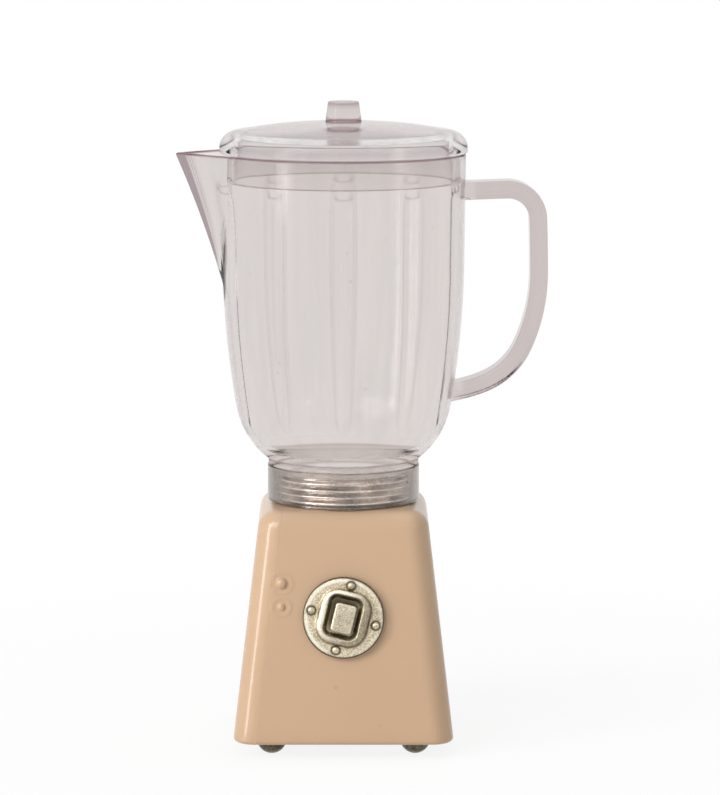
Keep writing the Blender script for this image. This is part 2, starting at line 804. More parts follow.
@dataclass
class Base:
    """Enamelled shell on four domed feet, with the metal boss on its roof."""

    bottom: float = 1.9
    top: float = 30.4
    bottom_half: float = 13.6
    top_half: float = 10.275
    wall: float = 1.2
    roof: float = 1.4
    corner: float = 2.75
    top_edge: float = 2.1
    bottom_edge: float = 0.6
    stud_across: float = -7.6
    studs: tuple[Point2, ...] = ((21.7, 0.72), (18.8, 0.5))
    stud_sink: float = 0.2
    paint_blend: float = 0.16
    stud_rows: Point2 = (16.8, 23.6)
    puddle_out: float = 0.62
    puddle_width: float = 0.22
    puddle_height: float = 0.045
    foot_place: float = 8.87
    foot_radius: float = 1.85
    foot_drop: float = 1.75
    foot_flat: float = 0.5
    shank_radius: float = 0.6
    shank_top: float = 7.25
    boss_radius: float = 8.35
    boss_top: float = 34.1
    thread_pitch: float = 0.8
    thread_depth: float = 0.4
    dish_radius: float = 5.6
    dish_depth: float = 0.5

    @property
    def slope(self) -> float:
        """How far a side leans in for each millimetre up."""
        return (self.bottom_half - self.top_half) / (self.top - self.bottom)

    def half(self, height: np.ndarray) -> np.ndarray:
        """Half width of the shell at a height."""
        return self.bottom_half - self.slope * (height - self.bottom)

    def shell(self) -> Skin:
        """Shell as rounded squares stacked up: inner roof, inner wall, bottom edge, outer wall, outer roof.

        Each row has a height, an inset from the leaning side and its corner radius, which is the
        outer one less the inset. The studs rise from the front face.

        Returns:
            The shell's closed surface.
        """
        quarter = quarter_turn(8)
        low, high = self.stud_rows
        rise = np.concatenate([
            np.linspace(self.bottom + self.bottom_edge, low - 0.2, 12),
            np.linspace(low, high, 64),
            np.linspace(high + 0.4, self.top - self.top_edge, 6),
        ])
        bottom_height = self.bottom + self.bottom_edge * (1.0 - np.sin(quarter))
        bottom_inset = self.bottom_edge * (1.0 - np.cos(quarter))
        top_height = self.top - self.top_edge * (1.0 - np.sin(quarter))
        top_inset = self.top_edge * (1.0 - np.cos(quarter))
        height_in = np.array([self.top - self.roof, 16.0, self.bottom])
        height = np.concatenate([height_in, bottom_height[::-1], rise[1:-1], top_height])
        inset = np.concatenate([np.full(3, self.wall), bottom_inset[::-1], 0.0 * rise[1:-1], top_inset])
        dense = np.concatenate([np.linspace(-1.0, -0.66, 36), np.linspace(-0.64, 0.98, 22)])
        half = self.half(height) - inset
        outline = Loop.of(np.linspace(-0.97, 0.97, 18), 20, dense).at(half, half, self.corner - inset)
        grid = stacked(outline, height)
        raised = np.where(inset[:, None] < 0.01, self.raised(grid), 0.0)
        lean = math.atan(self.slope)
        grid[..., 1] -= raised * math.cos(lean)
        grid[..., 2] += raised * math.sin(lean)
        halved = np.array([0.5, 0.5, 1.0])
        columns = grid.shape[1]
        under, over = pole(self.top - self.roof, columns), pole(self.top, columns)
        whole = np.concatenate([under, grid[:1] * halved, grid, grid[-1:] * halved, over])
        level = whole[..., 2]
        rim = ease(self.top - 1.5, self.top - 0.4, level)
        rim = rim * (1.0 - ease(self.top - 0.25, self.top - 0.02, level))
        low_edge = 1.0 - ease(self.bottom + 0.1, self.bottom + 0.9, level)
        pool = np.pad(band(raised, 0.11, 0.07) * (raised > 0.01), ((2, 2), (0, 0)))
        pool = np.clip(0.5 * low_edge + 0.55 * pool, 0.0, 1.0)
        return skin_of(whole, {"edge": 0.55 * rim, "pool": pool})

    def raised(self, grid: np.ndarray) -> np.ndarray:
        """How far the painted studs stand out of the front face.

        Each is a dome sqrt(r^2 - d^2) less how deep it is sunk, with a falling skirt past its
        radius, blended into the face, and a faint ring where the paint puddles round it.

        Args:
            grid: points of the shell.

        Returns:
            The height over each point, 0 off the front face.
        """
        up = 1.0 / math.cos(math.atan(self.slope))
        flat = np.zeros(grid.shape[:2])
        floor = soft_max(flat - 3.0, flat, self.paint_blend)
        raised = flat
        for stud_height, stud_radius in self.studs:
            away = np.hypot(grid[..., 0] - self.stud_across, (grid[..., 2] - stud_height) * up)
            dome = np.sqrt(np.clip(stud_radius**2 - away**2, 0.0, None)) - self.stud_sink
            skirt = -0.35 * np.clip(away - stud_radius, 0.0, None) - self.stud_sink * (away > stud_radius)
            lifted = soft_max(dome + skirt, flat, self.paint_blend) - floor
            near = 1.0 - ease(stud_radius + 0.5, stud_radius + 1.1, away)
            ring = self.puddle_height * band(away, stud_radius + self.puddle_out, self.puddle_width)
            raised = np.maximum(raised, lifted * near + ring)
        return np.where(grid[..., 1] < -9.0, raised, 0.0)

    def foot(self, across: int, along: int) -> Skin:
        """Domed foot and its shank: a flat, an arc of the foot's own radius up to the plate, then the shank.

        Args:
            across: side along X, -1 or 1.
            along: side along Y, -1 or 1.

        Returns:
            The foot's closed surface.
        """
        start = np.array([self.foot_flat, 0.0])
        end = np.array([self.foot_radius, self.foot_drop - 0.12])
        middle = (start + end) / 2.0
        chord = end - start
        normal = np.array([-chord[1], chord[0]]) / np.linalg.norm(chord)
        reach = math.sqrt(self.foot_radius**2 - float(chord @ chord) / 4.0)
        centre = middle + normal * reach
        first = math.atan2(*(start - centre)[::-1])
        last = math.atan2(*(end - centre)[::-1])
        angle = np.linspace(first, last, 15)
        dome = centre + self.foot_radius * np.stack([np.cos(angle), np.sin(angle)], axis=1)
        top = softened(
            [
                (self.foot_radius, self.foot_drop - 0.12),
                (self.foot_radius, self.foot_drop),
                (self.shank_radius, self.foot_drop),
                (self.shank_radius, self.shank_top),
                (0.0, self.shank_top),
            ],
            [0.0, 0.06, 0.05, 0.1, 0.0],
        )
        profile = np.concatenate([[[0.0, 0.0], [0.3, 0.0]], dome, top[1:]])
        grid = turned(profile, 64)
        hollow = ease(self.foot_drop - 0.4, self.foot_drop - 0.05, grid[..., 2])
        worn = 0.5 * (1.0 - ease(0.05, 0.5, grid[..., 2]))
        grid += np.array([across * self.foot_place, along * self.foot_place, 0.0])
        return skin_of(grid, {"hollow": 0.8 * hollow, "worn": worn})

    def boss(self) -> Skin:
        """Threaded boss: level ridges of trapezoid section under a flat top with a shallow dish.

        Returns:
            The boss's closed surface.
        """
        root = self.boss_radius - self.thread_depth
        corners: list[Point2] = [(0.0, self.top), (root, self.top)]
        radii = [0.0, 0.0]
        count = int((self.boss_top - self.top - self.thread_depth) // self.thread_pitch)
        for number in range(count):
            low = self.top + number * self.thread_pitch + self.thread_depth / 2.0
            tip = low + self.thread_pitch / 2.0
            corners += [(root, low), (self.boss_radius, tip - 0.1), (self.boss_radius, tip + 0.1)]
            radii += [0.08, 0.07, 0.07]
        corners += [
            (root, self.top + count * self.thread_pitch + self.thread_depth / 2.0),
            (root, self.boss_top),
            (self.dish_radius, self.boss_top),
            (self.dish_radius - self.dish_depth, self.boss_top - self.dish_depth),
            (0.0, self.boss_top - self.dish_depth),
        ]
        radii += [0.08, 0.15, 0.1, 0.1, 0.0]
        grid = turned(softened(corners, radii, 4), 192)
        reach = reach_of(grid)
        groove = (1.0 - ease(root + 0.02, root + 0.22, reach)) * (grid[..., 2] < self.boss_top - 0.05)
        crest = ease(self.boss_radius - 0.08, self.boss_radius, reach)
        return skin_of(grid, {"hollow": 0.4 * groove, "worn": 0.25 * crest})

    def build(self, finishes: Finishes, nodes: dict[str, bpy.types.Object]) -> None:
        """Make the pieces and dress the carried-over ones.

        Args:
            finishes: every material.
            nodes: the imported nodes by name.
        """
        show("enamel_shell", self.shell(), finishes.enamel, Body.BASE, Slot.ENAMEL, "base_shell")
        show("thread_boss", self.boss(), finishes.boss_metal, Body.BASE, Slot.BRIGHT_METAL, "threaded_boss")
        sides = {"front_left": (-1, -1), "front_right": (1, -1), "back_left": (-1, 1), "back_right": (1, 1)}
        for name, (across, along) in sides.items():
            pin = self.foot(across, along)
            show(f"drive_pin_{name}", pin, finishes.foot_metal, Body.BASE, Slot.DARK_METAL, f"foot_{name}")
        dress(nodes["base_plate"], finishes.plain_dark)
        dress(nodes["boss_screw"], finishes.plain_bright)
        dress(nodes["boss_washer"], finishes.plain_bright)


# The dial


@dataclass
class Dial:
    """Round cast plate with a mound, a trench and a finger knob, square to the leaning front."""

    height: float = 17.56
    out: float = 11.773
    lean: float = math.atan((13.6 - 10.275) / 28.5)
    turned: float = math.radians(13.5)
    back: float = 0.05
    radius: float = 5.0
    thick: float = 0.8
    edge: float = 0.28
    mound: Point2 = (3.15, 3.4)
    mound_height: float = 0.75
    mound_corner: float = 2.2
    mound_edge: float = 0.62
    trench: Point2 = (1.9, 2.4)
    trench_corner: float = 0.8
    trench_depth: float = 0.65
    trench_shift: Point2 = (-0.1, 0.13)
    knob: Point2 = (1.3, 1.8)
    knob_corner: float = 0.4
    knob_height: float = 1.1
    knob_edge: float = 0.24
    rivet_circle: float = 4.05
    rivet_radius: float = 0.48
    rivet_height: float = 0.4
    bright_rim: float = 0.42

    def placed(self, grid: np.ndarray) -> np.ndarray:
        """Stand local points (right, up the face, outwards) on the front face, turned clockwise.

        Args:
            grid: points with the dial's middle at the origin.

        Returns:
            The points in the part's frame.
        """
        across = grid[..., 0] * math.cos(self.turned) + grid[..., 1] * math.sin(self.turned)
        up = grid[..., 1] * math.cos(self.turned) - grid[..., 0] * math.sin(self.turned)
        away = grid[..., 2]
        depth = -self.out - away * math.cos(self.lean) + up * math.sin(self.lean)
        level = self.height + away * math.sin(self.lean) + up * math.cos(self.lean)
        return np.stack([across, depth, level], axis=-1)

    @staticmethod
    def outside(across: np.ndarray, up: np.ndarray, half: Point2, corner: float) -> np.ndarray:
        """Distance outside a rounded rectangle, less than 0 inside it.

        Args:
            across: places along its width.
            up: places along its length.
            half: half its width and length.
            corner: its corner radius.

        Returns:
            The signed distance.
        """
        right = np.abs(across) - (half[0] - corner)
        high = np.abs(up) - (half[1] - corner)
        away = np.hypot(np.clip(right, 0.0, None), np.clip(high, 0.0, None))
        return away + np.minimum(np.maximum(right, high), 0.0) - corner

    def plate(self) -> Skin:
        """Plate as a height over polar rows: flat, quarter-round mound, steep trench, rounded rim, flat back.

        Returns:
            The plate's closed surface.
        """
        reach = np.linspace(0.0, self.radius - self.edge, 110)
        angle = np.linspace(0.0, 2.0 * math.pi, 288, endpoint=False)
        across = reach[:, None] * np.cos(angle)
        up = reach[:, None] * np.sin(angle)
        face = self.back + self.thick
        from_mound = self.outside(across, up, self.mound, self.mound_corner)
        climb = np.clip((0.06 - from_mound) / self.mound_edge, 0.0, 1.0)
        mound = self.mound_height * np.sqrt(1.0 - (1.0 - climb) ** 2)
        shift = self.trench_shift
        from_trench = self.outside(across - shift[0], up - shift[1], self.trench, self.trench_corner)
        trench = self.trench_depth * (1.0 - ease(-0.3, 0.42, from_trench))
        dished = 0.05 * band(reach[:, None], 0.0, 1.6) * (from_trench > 0.3)
        top = face + mound - trench - dished
        grid = np.stack([across, up, top], axis=-1)
        quarter = quarter_turn(6)[1:]
        rim_reach = self.radius - self.edge * (1.0 - np.sin(quarter))
        rim_height = face - self.edge * (1.0 - np.cos(quarter))
        rim_reach = np.concatenate([rim_reach, [self.radius, self.radius - 0.08, self.radius * 0.5, 0.0]])
        rim_height = np.concatenate([rim_height, [self.back + 0.08, self.back, self.back, self.back]])
        rim = turned(np.stack([rim_reach, rim_height], axis=1), len(angle))
        whole = np.concatenate([grid, rim])[::-1]
        shade = ease(-2.0, 2.6, across - 0.4 * up)
        hollow = 0.92 * (1.0 - ease(-0.45, 0.24, from_trench))
        hollow = hollow * (1.0 - 0.5 * ease(0.5, 2.4, -up)) * (1.0 - 0.3 * ease(0.8, 2.0, across))
        hollow = np.maximum(hollow, (0.15 + 0.5 * shade) * band(from_mound, -0.05, 0.26))
        hollow = np.maximum(hollow, 0.4 * shade * (from_mound < 0.0) * ease(0.0, 0.4, from_trench))
        for middle in self.rivet_places():
            away = np.hypot(across - middle[0], up - middle[1])
            hollow = np.maximum(hollow, 0.95 * band(away, self.rivet_radius + 0.05, 0.16))
        bright_at = self.radius - self.bright_rim
        worn = 0.7 * band(from_trench, 0.6, 0.25) * (from_mound < -0.1) * (1.0 - shade)
        worn = np.maximum(worn, (0.75 - 0.55 * shade) * band(reach[:, None], bright_at, 0.2))
        dark_edge = 0.9 * ease(self.radius - 0.26, self.radius - 0.1, rim_reach)[:, None]
        bright_edge = 0.5 * band(rim_reach, bright_at, 0.2)[:, None]
        hollow = np.concatenate([hollow, np.broadcast_to(dark_edge, rim.shape[:2])])[::-1]
        worn = np.concatenate([worn, np.broadcast_to(bright_edge, rim.shape[:2])])[::-1]
        return skin_of(self.placed(whole), {"hollow": hollow, "worn": worn})

    def rivet_places(self) -> list[np.ndarray]:
        """Middles of the four rivets on the plate."""
        turns = (number * math.pi / 2.0 for number in range(4))
        return [np.array([math.cos(turn), math.sin(turn), 0.0]) * self.rivet_circle for turn in turns]

    def rivets(self) -> Skin:
        """Four domed rivet heads with a small flange, each closed below.

        Returns:
            Their surfaces as one skin.
        """
        face = self.back + self.thick
        angle = np.linspace(math.pi / 2.0, 0.08, 12)
        across = self.rivet_radius * np.cos(angle)
        rise = face + 0.04 + self.rivet_height * 0.85 * np.sin(angle)
        dome = np.stack([across, rise], axis=1)
        side = self.rivet_radius
        skirt = np.array([[0.0, face - 0.3], [side, face - 0.3], [side, face + 0.02]])
        profile = np.concatenate([skirt, dome[::-1]])
        head = turned(profile, 40)
        hollow = 0.7 * (1.0 - ease(face, face + 0.28, head[..., 2]))
        masks = {"hollow": hollow, "worn": 0.0 * hollow}
        heads: Skin | None = None
        for middle in self.rivet_places():
            one = skin_of(self.placed(head + middle), masks)
            heads = one if heads is None else heads.with_other(one)
        return heads

    def grip(self) -> Skin:
        """Finger knob: rounded rectangles from the trench's floor up, drawn in round its top edge.

        Returns:
            The knob's closed surface.
        """
        floor = self.back + self.thick + self.mound_height - self.trench_depth + 0.03
        quarter = quarter_turn(6)
        top_edge = floor + self.knob_height - self.knob_edge * (1.0 - np.sin(quarter))
        height = np.concatenate([[floor, floor + 0.5], top_edge])
        inset = np.concatenate([[0.0, 0.0], self.knob_edge * (1.0 - np.cos(quarter))])
        loop = Loop.of(np.linspace(-0.9, 0.9, 9), 8)
        outline = loop.at(self.knob[0] - inset, self.knob[1] - inset, self.knob_corner - inset * 0.8)
        grid = stacked(outline, height)
        crown = grid[-1:] * np.array([0.55, 0.55, 1.0]) + np.array([0.0, 0.0, 0.02])
        columns = grid.shape[1]
        low, high = pole(floor, columns), pole(floor + self.knob_height + 0.03, columns)
        whole = np.concatenate([low, grid, crown, high])
        lift = whole[..., 2] - floor
        hollow = 0.16 + 0.7 * (1.0 - ease(0.2, 0.8, lift))
        worn = 0.35 * band(lift, self.knob_height - 0.07, 0.09)
        return skin_of(self.placed(whole), {"hollow": hollow, "worn": worn})

    def build(self, finishes: Finishes, nodes: dict[str, bpy.types.Object]) -> None:
        """Make the pieces and dress the carried-over ones.

        Args:
            finishes: every material.
            nodes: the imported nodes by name.
        """
        show("dial_face", self.plate(), finishes.pewter, Body.DIAL, Slot.PEWTER, "dial_plate")
        show("dial_rivet_heads", self.rivets(), finishes.pewter, Body.DIAL, Slot.PEWTER, "dial_rivets")
        show("dial_grip", self.grip(), finishes.pewter, Body.DIAL, Slot.PEWTER, "dial_knob")
        for name in ("dial_spindle", "dial_washer", "dial_clip"):
            dress(nodes[name], finishes.plain_bright)


# The jar


@dataclass
class Jar:
    """Clear bowl with inner ribs and a spout, its handle and its collar."""

    rim: float = 73.7
    rim_radius: float = 15.15
    belly: float = 60.0
    belly_radius: float = 15.0
    waist: float = 42.2
    waist_radius: float = 13.35
    bowl_bottom: float = 35.75
    bottom_radius: float = 9.45
    neck_radius: float = 9.35
    neck_bottom: float = 34.92
    wall: float = 1.0
    floor: float = 36.45
    floor_radius: float = 7.85
    lip: float = 0.28
    rib_count: int = 10
    rib_tool: float = 2.0
    rib_width: float = 3.3
    rib_height: float = 0.62
    rib_top: float = 69.9
    rib_rise: float = 1.7
    rib_end: Point2 = (13.45, 38.65)
    ring_half: Point2 = (1.05, 0.42)
    ring_width: float = 0.3
    ring_height: float = 0.15
    spout_reach: float = 20.8
    spout_depth: float = 16.3
    spout_bow: float = 0.35
    spout_soft: float = 0.022
    inner_calm: float = 0.3
    floor_rows: tuple[float, ...] = (0.93, 0.6, 0.3, 0.0)
    bar_start: Point2 = (14.65, 69.05)
    bar_stations: tuple[tuple[float, float, int], ...] = (
        (20.2, 69.25, 12),
        (24.05, 65.67, 18),
        (24.19, 58.9, 14),
        (22.23, 49.75, 18),
        (17.58, 45.22, 16),
        (12.85, 43.97, 14),
    )
    cap_rows: tuple[float, ...] = (0.0, 0.3, 0.6, 0.85, 0.97, 1.0)
    bar_thick: float = 1.1
    bar_width: float = 2.2
    bar_edge: float = 0.5
    gap: float = 0.02
    collar_radius: float = 9.45
    collar_bore: float = 8.6
    collar_bottom: float = 30.45
    columns: int = 540

    def outer_line(self) -> np.ndarray:
        """Bowl's outside from the rim down: a straight draft, then two arcs that run on in line."""
        chain = Chain((self.rim_radius, self.rim - self.lip))
        chain.line((self.belly_radius, self.belly), 24)
        chain.bend((self.waist_radius, self.waist), 20)
        return chain.bend((self.bottom_radius, self.bowl_bottom), 20).points()

    def inner_line(self) -> np.ndarray:
        """Bowl's inside from the rim down, a wall's thickness in from the outside."""
        chain = Chain((self.rim_radius - self.wall, self.rim - self.lip))
        chain.line((self.rim_radius - self.wall - 0.035, 69.3), 4)
        chain.line((self.rim_radius - self.wall - 0.07, 66.9), 22)
        chain.line((self.belly_radius - self.wall, self.belly), 12)
        chain.bend((self.waist_radius - self.wall, self.waist), 24)
        return chain.bend((self.floor_radius, self.floor), 24).points()

    def outside_at(self, height: np.ndarray) -> np.ndarray:
        """Outer radius of the bowl at a height."""
        line = self.outer_line()[::-1]
        return np.interp(height, line[:, 1], line[:, 0])

    def around(self) -> np.ndarray:
        """Angles of the columns from -X, closer together at the spout: a = u - 0.75 sin u."""
        even = np.linspace(-math.pi, math.pi, self.columns, endpoint=False)
        return even - 0.75 * np.sin(even)

    def spouted(self, height: np.ndarray, angle: np.ndarray) -> np.ndarray:
        """How much further out the spout is than the round bowl.

        Two flat walls run from the tip, at distance d, tangent to the bowl of radius R. In polar
        form that is R / cos(t - a), where cos t = R / d and a is the angle from the tip. The tip's
        distance falls evenly to the bowl over the spout's depth, a little bowed in.

        Args:
            height: heights, one per row.
            angle: angles from the tip, one per column.

        Returns:
            The factor as rows x columns.
        """
        share = np.clip((self.rim - height) / self.spout_depth, 0.0, 1.0)[:, None]
        bowl = self.belly_radius + (self.rim_radius - self.belly_radius) * (1.0 - share)
        bow = 4.0 * self.spout_bow * share * (1.0 - share)
        tip = self.spout_reach - (self.spout_reach - bowl) * share - bow
        touch = np.arccos(np.clip(bowl / tip, 0.0, 1.0))
        away = np.sqrt(angle[None, :] ** 2 + self.spout_soft**2) - self.spout_soft
        return np.where(away < touch, 1.0 / np.cos(np.clip(touch - away, 0.0, None)), 1.0)

    def ribbed(
        self, radius: np.ndarray, height: np.ndarray, angle: np.ndarray
    ) -> tuple[np.ndarray, np.ndarray]:
        """Inside of the bowl with its ribs standing out of it.

        Each rib is a soft wave, h (1 + cos(pi d / w)) / 2 at a distance d from its middle. It rises
        from its top in a smooth step, and it runs out lower down, where the rod that it is cut by
        leans inwards less than the bowl does. A fine oval ring stands at its top.

        Args:
            radius: inner radius as rows x columns.
            height: heights, one per row.
            angle: angles from the spout, one per column.

        Returns:
            The radius with the ribs, and a mask of their flanks and rings.
        """
        sunk = math.sqrt(self.rib_tool**2 - 1.55**2)
        rod = self.belly_radius - self.wall + sunk
        fall = self.belly - self.rib_end[1]
        lean = rod - self.rib_end[0]
        bend = (lean * lean + fall * fall) / (2.0 * lean)
        below = np.clip(self.belly - height, 0.0, fall + 2.0)
        centre = rod - (bend - np.sqrt(bend * bend - below**2))
        line = self.inner_line()[::-1]
        plain = np.interp(height, line[:, 1], line[:, 0])
        stands = np.clip((plain - centre + self.rib_tool) / (self.rib_tool - sunk), 0.0, 1.0)
        stands = stands * (1.0 - ease(self.rib_top - self.rib_rise, self.rib_top, height))
        half = 0.5 * self.rib_width * np.sqrt(stands)[:, None] + 1e-6
        pitch = 2.0 * math.pi / self.rib_count
        offset = np.mod(angle, pitch) - pitch / 2.0
        aside = plain[:, None] * np.sin(offset)[None, :]
        wave = 0.5 * (1.0 + np.cos(math.pi * np.clip(np.abs(aside) / half, 0.0, 1.0)))
        level = (height[:, None] - self.rib_top + self.ring_half[1] + 0.1) / self.ring_half[1]
        ring = self.ring_height * band(np.hypot(aside / self.ring_half[0], level), 1.0, self.ring_width)
        flank = band(np.abs(aside) / half, 0.78, 0.14) * ease(0.0, 0.5, stands)[:, None]
        marks = 0.2 * flank + 0.45 * ring / self.ring_height
        return radius - self.rib_height * stands[:, None] * wave - ring, marks

    def bowl(self) -> Skin:
        """Bowl as one polar surface: neck disc, outside up, rounded lip, inside down with ribs, floor.

        Returns:
            The bowl's closed surface.
        """
        angle = self.around()
        outer, inner = self.outer_line()[::-1], self.inner_line()
        neck = softened(
            [
                (0.0, self.neck_bottom),
                (self.neck_radius, self.neck_bottom),
                (self.neck_radius, self.bowl_bottom - 0.02),
                (self.bottom_radius, self.bowl_bottom),
            ],
            [0.0, 0.12, 0.03, 0.0],
        )[:-1]
        quarter = quarter_turn(4)[1:]
        out_radius = self.rim_radius - self.lip * (1.0 - np.cos(quarter))
        in_radius = self.rim_radius - self.wall + self.lip * (1.0 - np.cos(quarter[::-1]))
        lip_height = self.rim - self.lip * (1.0 - np.sin(quarter))
        lip = np.concatenate([
            np.stack([out_radius, lip_height], axis=1),
            np.stack([in_radius, lip_height[::-1]], axis=1),
        ])
        outside = np.concatenate([neck, outer])
        grown, over, plain = (self.spouted(line[:, 1], angle) * line[:, :1] for line in (outside, lip, inner))
        within, marks = self.ribbed(plain, inner[:, 1], angle)
        floor = np.array(self.floor_rows)[:, None] * within[-1:]
        radius = np.concatenate([grown, over, within, floor])
        height = np.concatenate([outside[:, 1], lip[:, 1], inner[:, 1], np.full(len(floor), self.floor)])
        turn = angle + math.pi
        level = np.broadcast_to(height[:, None], radius.shape)
        grid = np.stack([radius * np.cos(turn), radius * np.sin(turn), level], axis=-1)
        first = len(outside) + len(lip)
        return skin_of(grid, self.bowl_masks(grid, angle, len(outside), first, marks))

    def bowl_masks(
        self, grid: np.ndarray, angle: np.ndarray, outside: int, first: int, marks: np.ndarray
    ) -> dict[str, np.ndarray]:
        """Masks of the bowl: its dark rim, spout tip and joints, and where it is calm, frosted or clear.

        Args:
            grid: the bowl's points.
            angle: angles from the spout, one per column.
            outside: how many rows the outside has.
            first: the inside's first row.
            marks: mask of the ribs, for the rows from there down to the floor.

        Returns:
            The masks by name.
        """
        level = grid[..., 2]
        away = np.abs(angle)[None, :]
        rows = np.arange(len(grid))[:, None]
        is_out, is_in = rows < outside, rows >= first
        foot = self.rim - self.spout_depth
        on_spout = ease(foot + 0.5, foot + 4.0, level)
        near_spout = ease(foot - 3.0, foot - 0.5, level)
        tip = 0.85 * (1.0 - ease(0.075, 0.095, away))
        fine_lines = 0.5 * band(away, 0.108, 0.008) + 0.35 * band(away, 0.13, 0.006)
        smoke = on_spout * np.maximum(tip, fine_lines) * is_out
        smoke[first : first + len(marks)] = marks
        joint = np.maximum(band(level, self.neck_bottom + 0.06, 0.1), band(level, self.bowl_bottom, 0.1))
        joint = 0.9 * joint * is_out * (reach_of(grid) > self.neck_radius - 0.4)
        calm = near_spout * (1.0 - ease(0.12, 0.36, away))
        calm = np.maximum(calm, 1.0 - ease(36.6, 38.5, level))
        fading = ease(foot - 3.0, foot, level) * (1.0 - ease(foot + 1.0, foot + 5.0, level))
        clear = 0.6 * fading * (1.0 - ease(0.1, 0.3, away))
        neck_disc = (level < self.neck_bottom + 0.01) & (rows < 2)
        return {
            "seam": 0.95 * ease(self.rim - 0.3, self.rim - 0.1, level),
            "joint": joint,
            "smoke": smoke,
            "calm": np.maximum(calm, self.inner_calm * is_in),
            "frost": (1.0 - ease(self.floor + 0.1, self.floor + 1.2, level)) * is_in,
            "clear": np.maximum(clear, is_in | neck_disc),
        }

    def bar_line(self) -> np.ndarray:
        """Middle line of the handle in (X, Z), with its heading: rows of x, z, heading x, heading z."""
        (across, height, steps), *bends = self.bar_stations
        chain = Chain(self.bar_start).line((across, height), steps)
        for across, height, steps in bends:
            chain.bend((across, height), steps)
        line = chain.points()
        heading = np.gradient(line, axis=0)
        heading /= np.linalg.norm(heading, axis=1, keepdims=True)
        keep = line[:, 0] > self.outside_at(line[:, 1]) + 0.75
        return np.concatenate([line, heading], axis=1)[keep]

    def onto_bowl(self, ring: np.ndarray, heading: np.ndarray) -> np.ndarray:
        """Slide points along a heading until they lie just off the bowl: x = sqrt(R(z)^2 - y^2).

        Args:
            ring: points to slide.
            heading: x and z of the direction to slide in.

        Returns:
            The points on the bowl.
        """
        moved = ring.copy()
        for _ in range(6):
            target = np.sqrt(self.outside_at(moved[..., 2]) ** 2 - moved[..., 1] ** 2) + self.gap
            step = (target - moved[..., 0]) / heading[0]
            moved[..., 0] = target
            moved[..., 2] += step * heading[1]
        return moved

    def handle(self) -> Skin:
        """Rounded bar carried along the handle's line, its two ends shaped to the bowl.

        A ring close to each end keeps the light on the bar's sides from bending over its end.

        Returns:
            The handle's closed surface.
        """
        line = self.bar_line()
        loop = Loop.of(np.linspace(-0.94, 0.94, 9), 18)
        one = np.ones(1)
        section = loop.at(one * self.bar_thick, one * self.bar_width, one * self.bar_edge)[0]
        level = 0.0 * line[:, 0]
        middle = np.stack([line[:, 0], level, line[:, 1]], axis=1)[:, None, :]
        across = np.stack([line[:, 3], level, -line[:, 2]], axis=1)[:, None, :]
        side = np.array([0.0, 1.0, 0.0])
        grid = middle + across * section[None, :, :1] + side * section[None, :, 1:]
        share = np.array(self.cap_rows)[:, None, None]
        start_cap = self.onto_bowl(middle[0] + (grid[0] - middle[0]) * share, line[0, 2:])
        end_cap = self.onto_bowl(middle[-1] + (grid[-1] - middle[-1]) * share[::-1], line[-1, 2:])
        start_edge = start_cap[-1:] + 0.05 * (grid[:1] - start_cap[-1:])
        end_edge = end_cap[:1] + 0.05 * (grid[-1:] - end_cap[:1])
        whole = np.concatenate([start_cap, start_edge, grid, end_edge, end_cap])
        away = reach_of(whole) - self.outside_at(whole[..., 2])
        reach = np.abs(section[None, :, 0])
        edge_line = 0.08 * ease(self.bar_thick - 0.32, self.bar_thick - 0.02, reach)
        edge_line = edge_line + 0.06 * band(reach, self.bar_thick - self.bar_edge, 0.05)
        masks = {
            "seam": np.maximum(0.18 * (1.0 - ease(0.05, 0.7, away)), edge_line),
            "calm": 1.0 - ease(0.4, 1.6, away),
            "clear": 0.35 * (1.0 - ease(0.3, 1.6, away)),
        }
        return skin_of(whole, masks)

    def collar(self) -> Skin:
        """Collar as a turned ring with softened edges.

        Returns:
            The collar's closed surface.
        """
        top = self.neck_bottom - self.gap
        middle = (self.collar_bottom + top) / 2.0
        corners: list[Point2] = [
            (self.collar_radius, middle),
            (self.collar_radius, top),
            (self.collar_bore, top),
            (self.collar_bore, self.collar_bottom),
            (self.collar_radius, self.collar_bottom),
            (self.collar_radius, middle),
        ]
        profile = softened(corners, [0.0, 0.12, 0.1, 0.1, 0.22, 0.0])[:-1]
        grid = turned(profile, 192)
        level = grid[..., 2]
        outer = reach_of(grid) > self.collar_radius - 0.25
        joint = np.maximum(0.6 * band(level, top, 0.06), 0.9 * band(level, self.collar_bottom, 0.1)) * outer
        return skin_of(grid, {"joint": joint}, start_pole=False, end_pole=False, looped=True)

    def build(self, finishes: Finishes) -> None:
        """Make the bowl, the handle and the collar."""
        show("jar_bowl", self.bowl(), finishes.bowl, Body.JAR, Slot.CLEAR, "jar_body")
        show("jar_bar", self.handle(), finishes.bar, Body.JAR, Slot.CLEAR, "jar_handle")
        show("jar_ring", self.collar(), finishes.ring, Body.JAR, Slot.CLEAR, "jar_collar")


# The lid


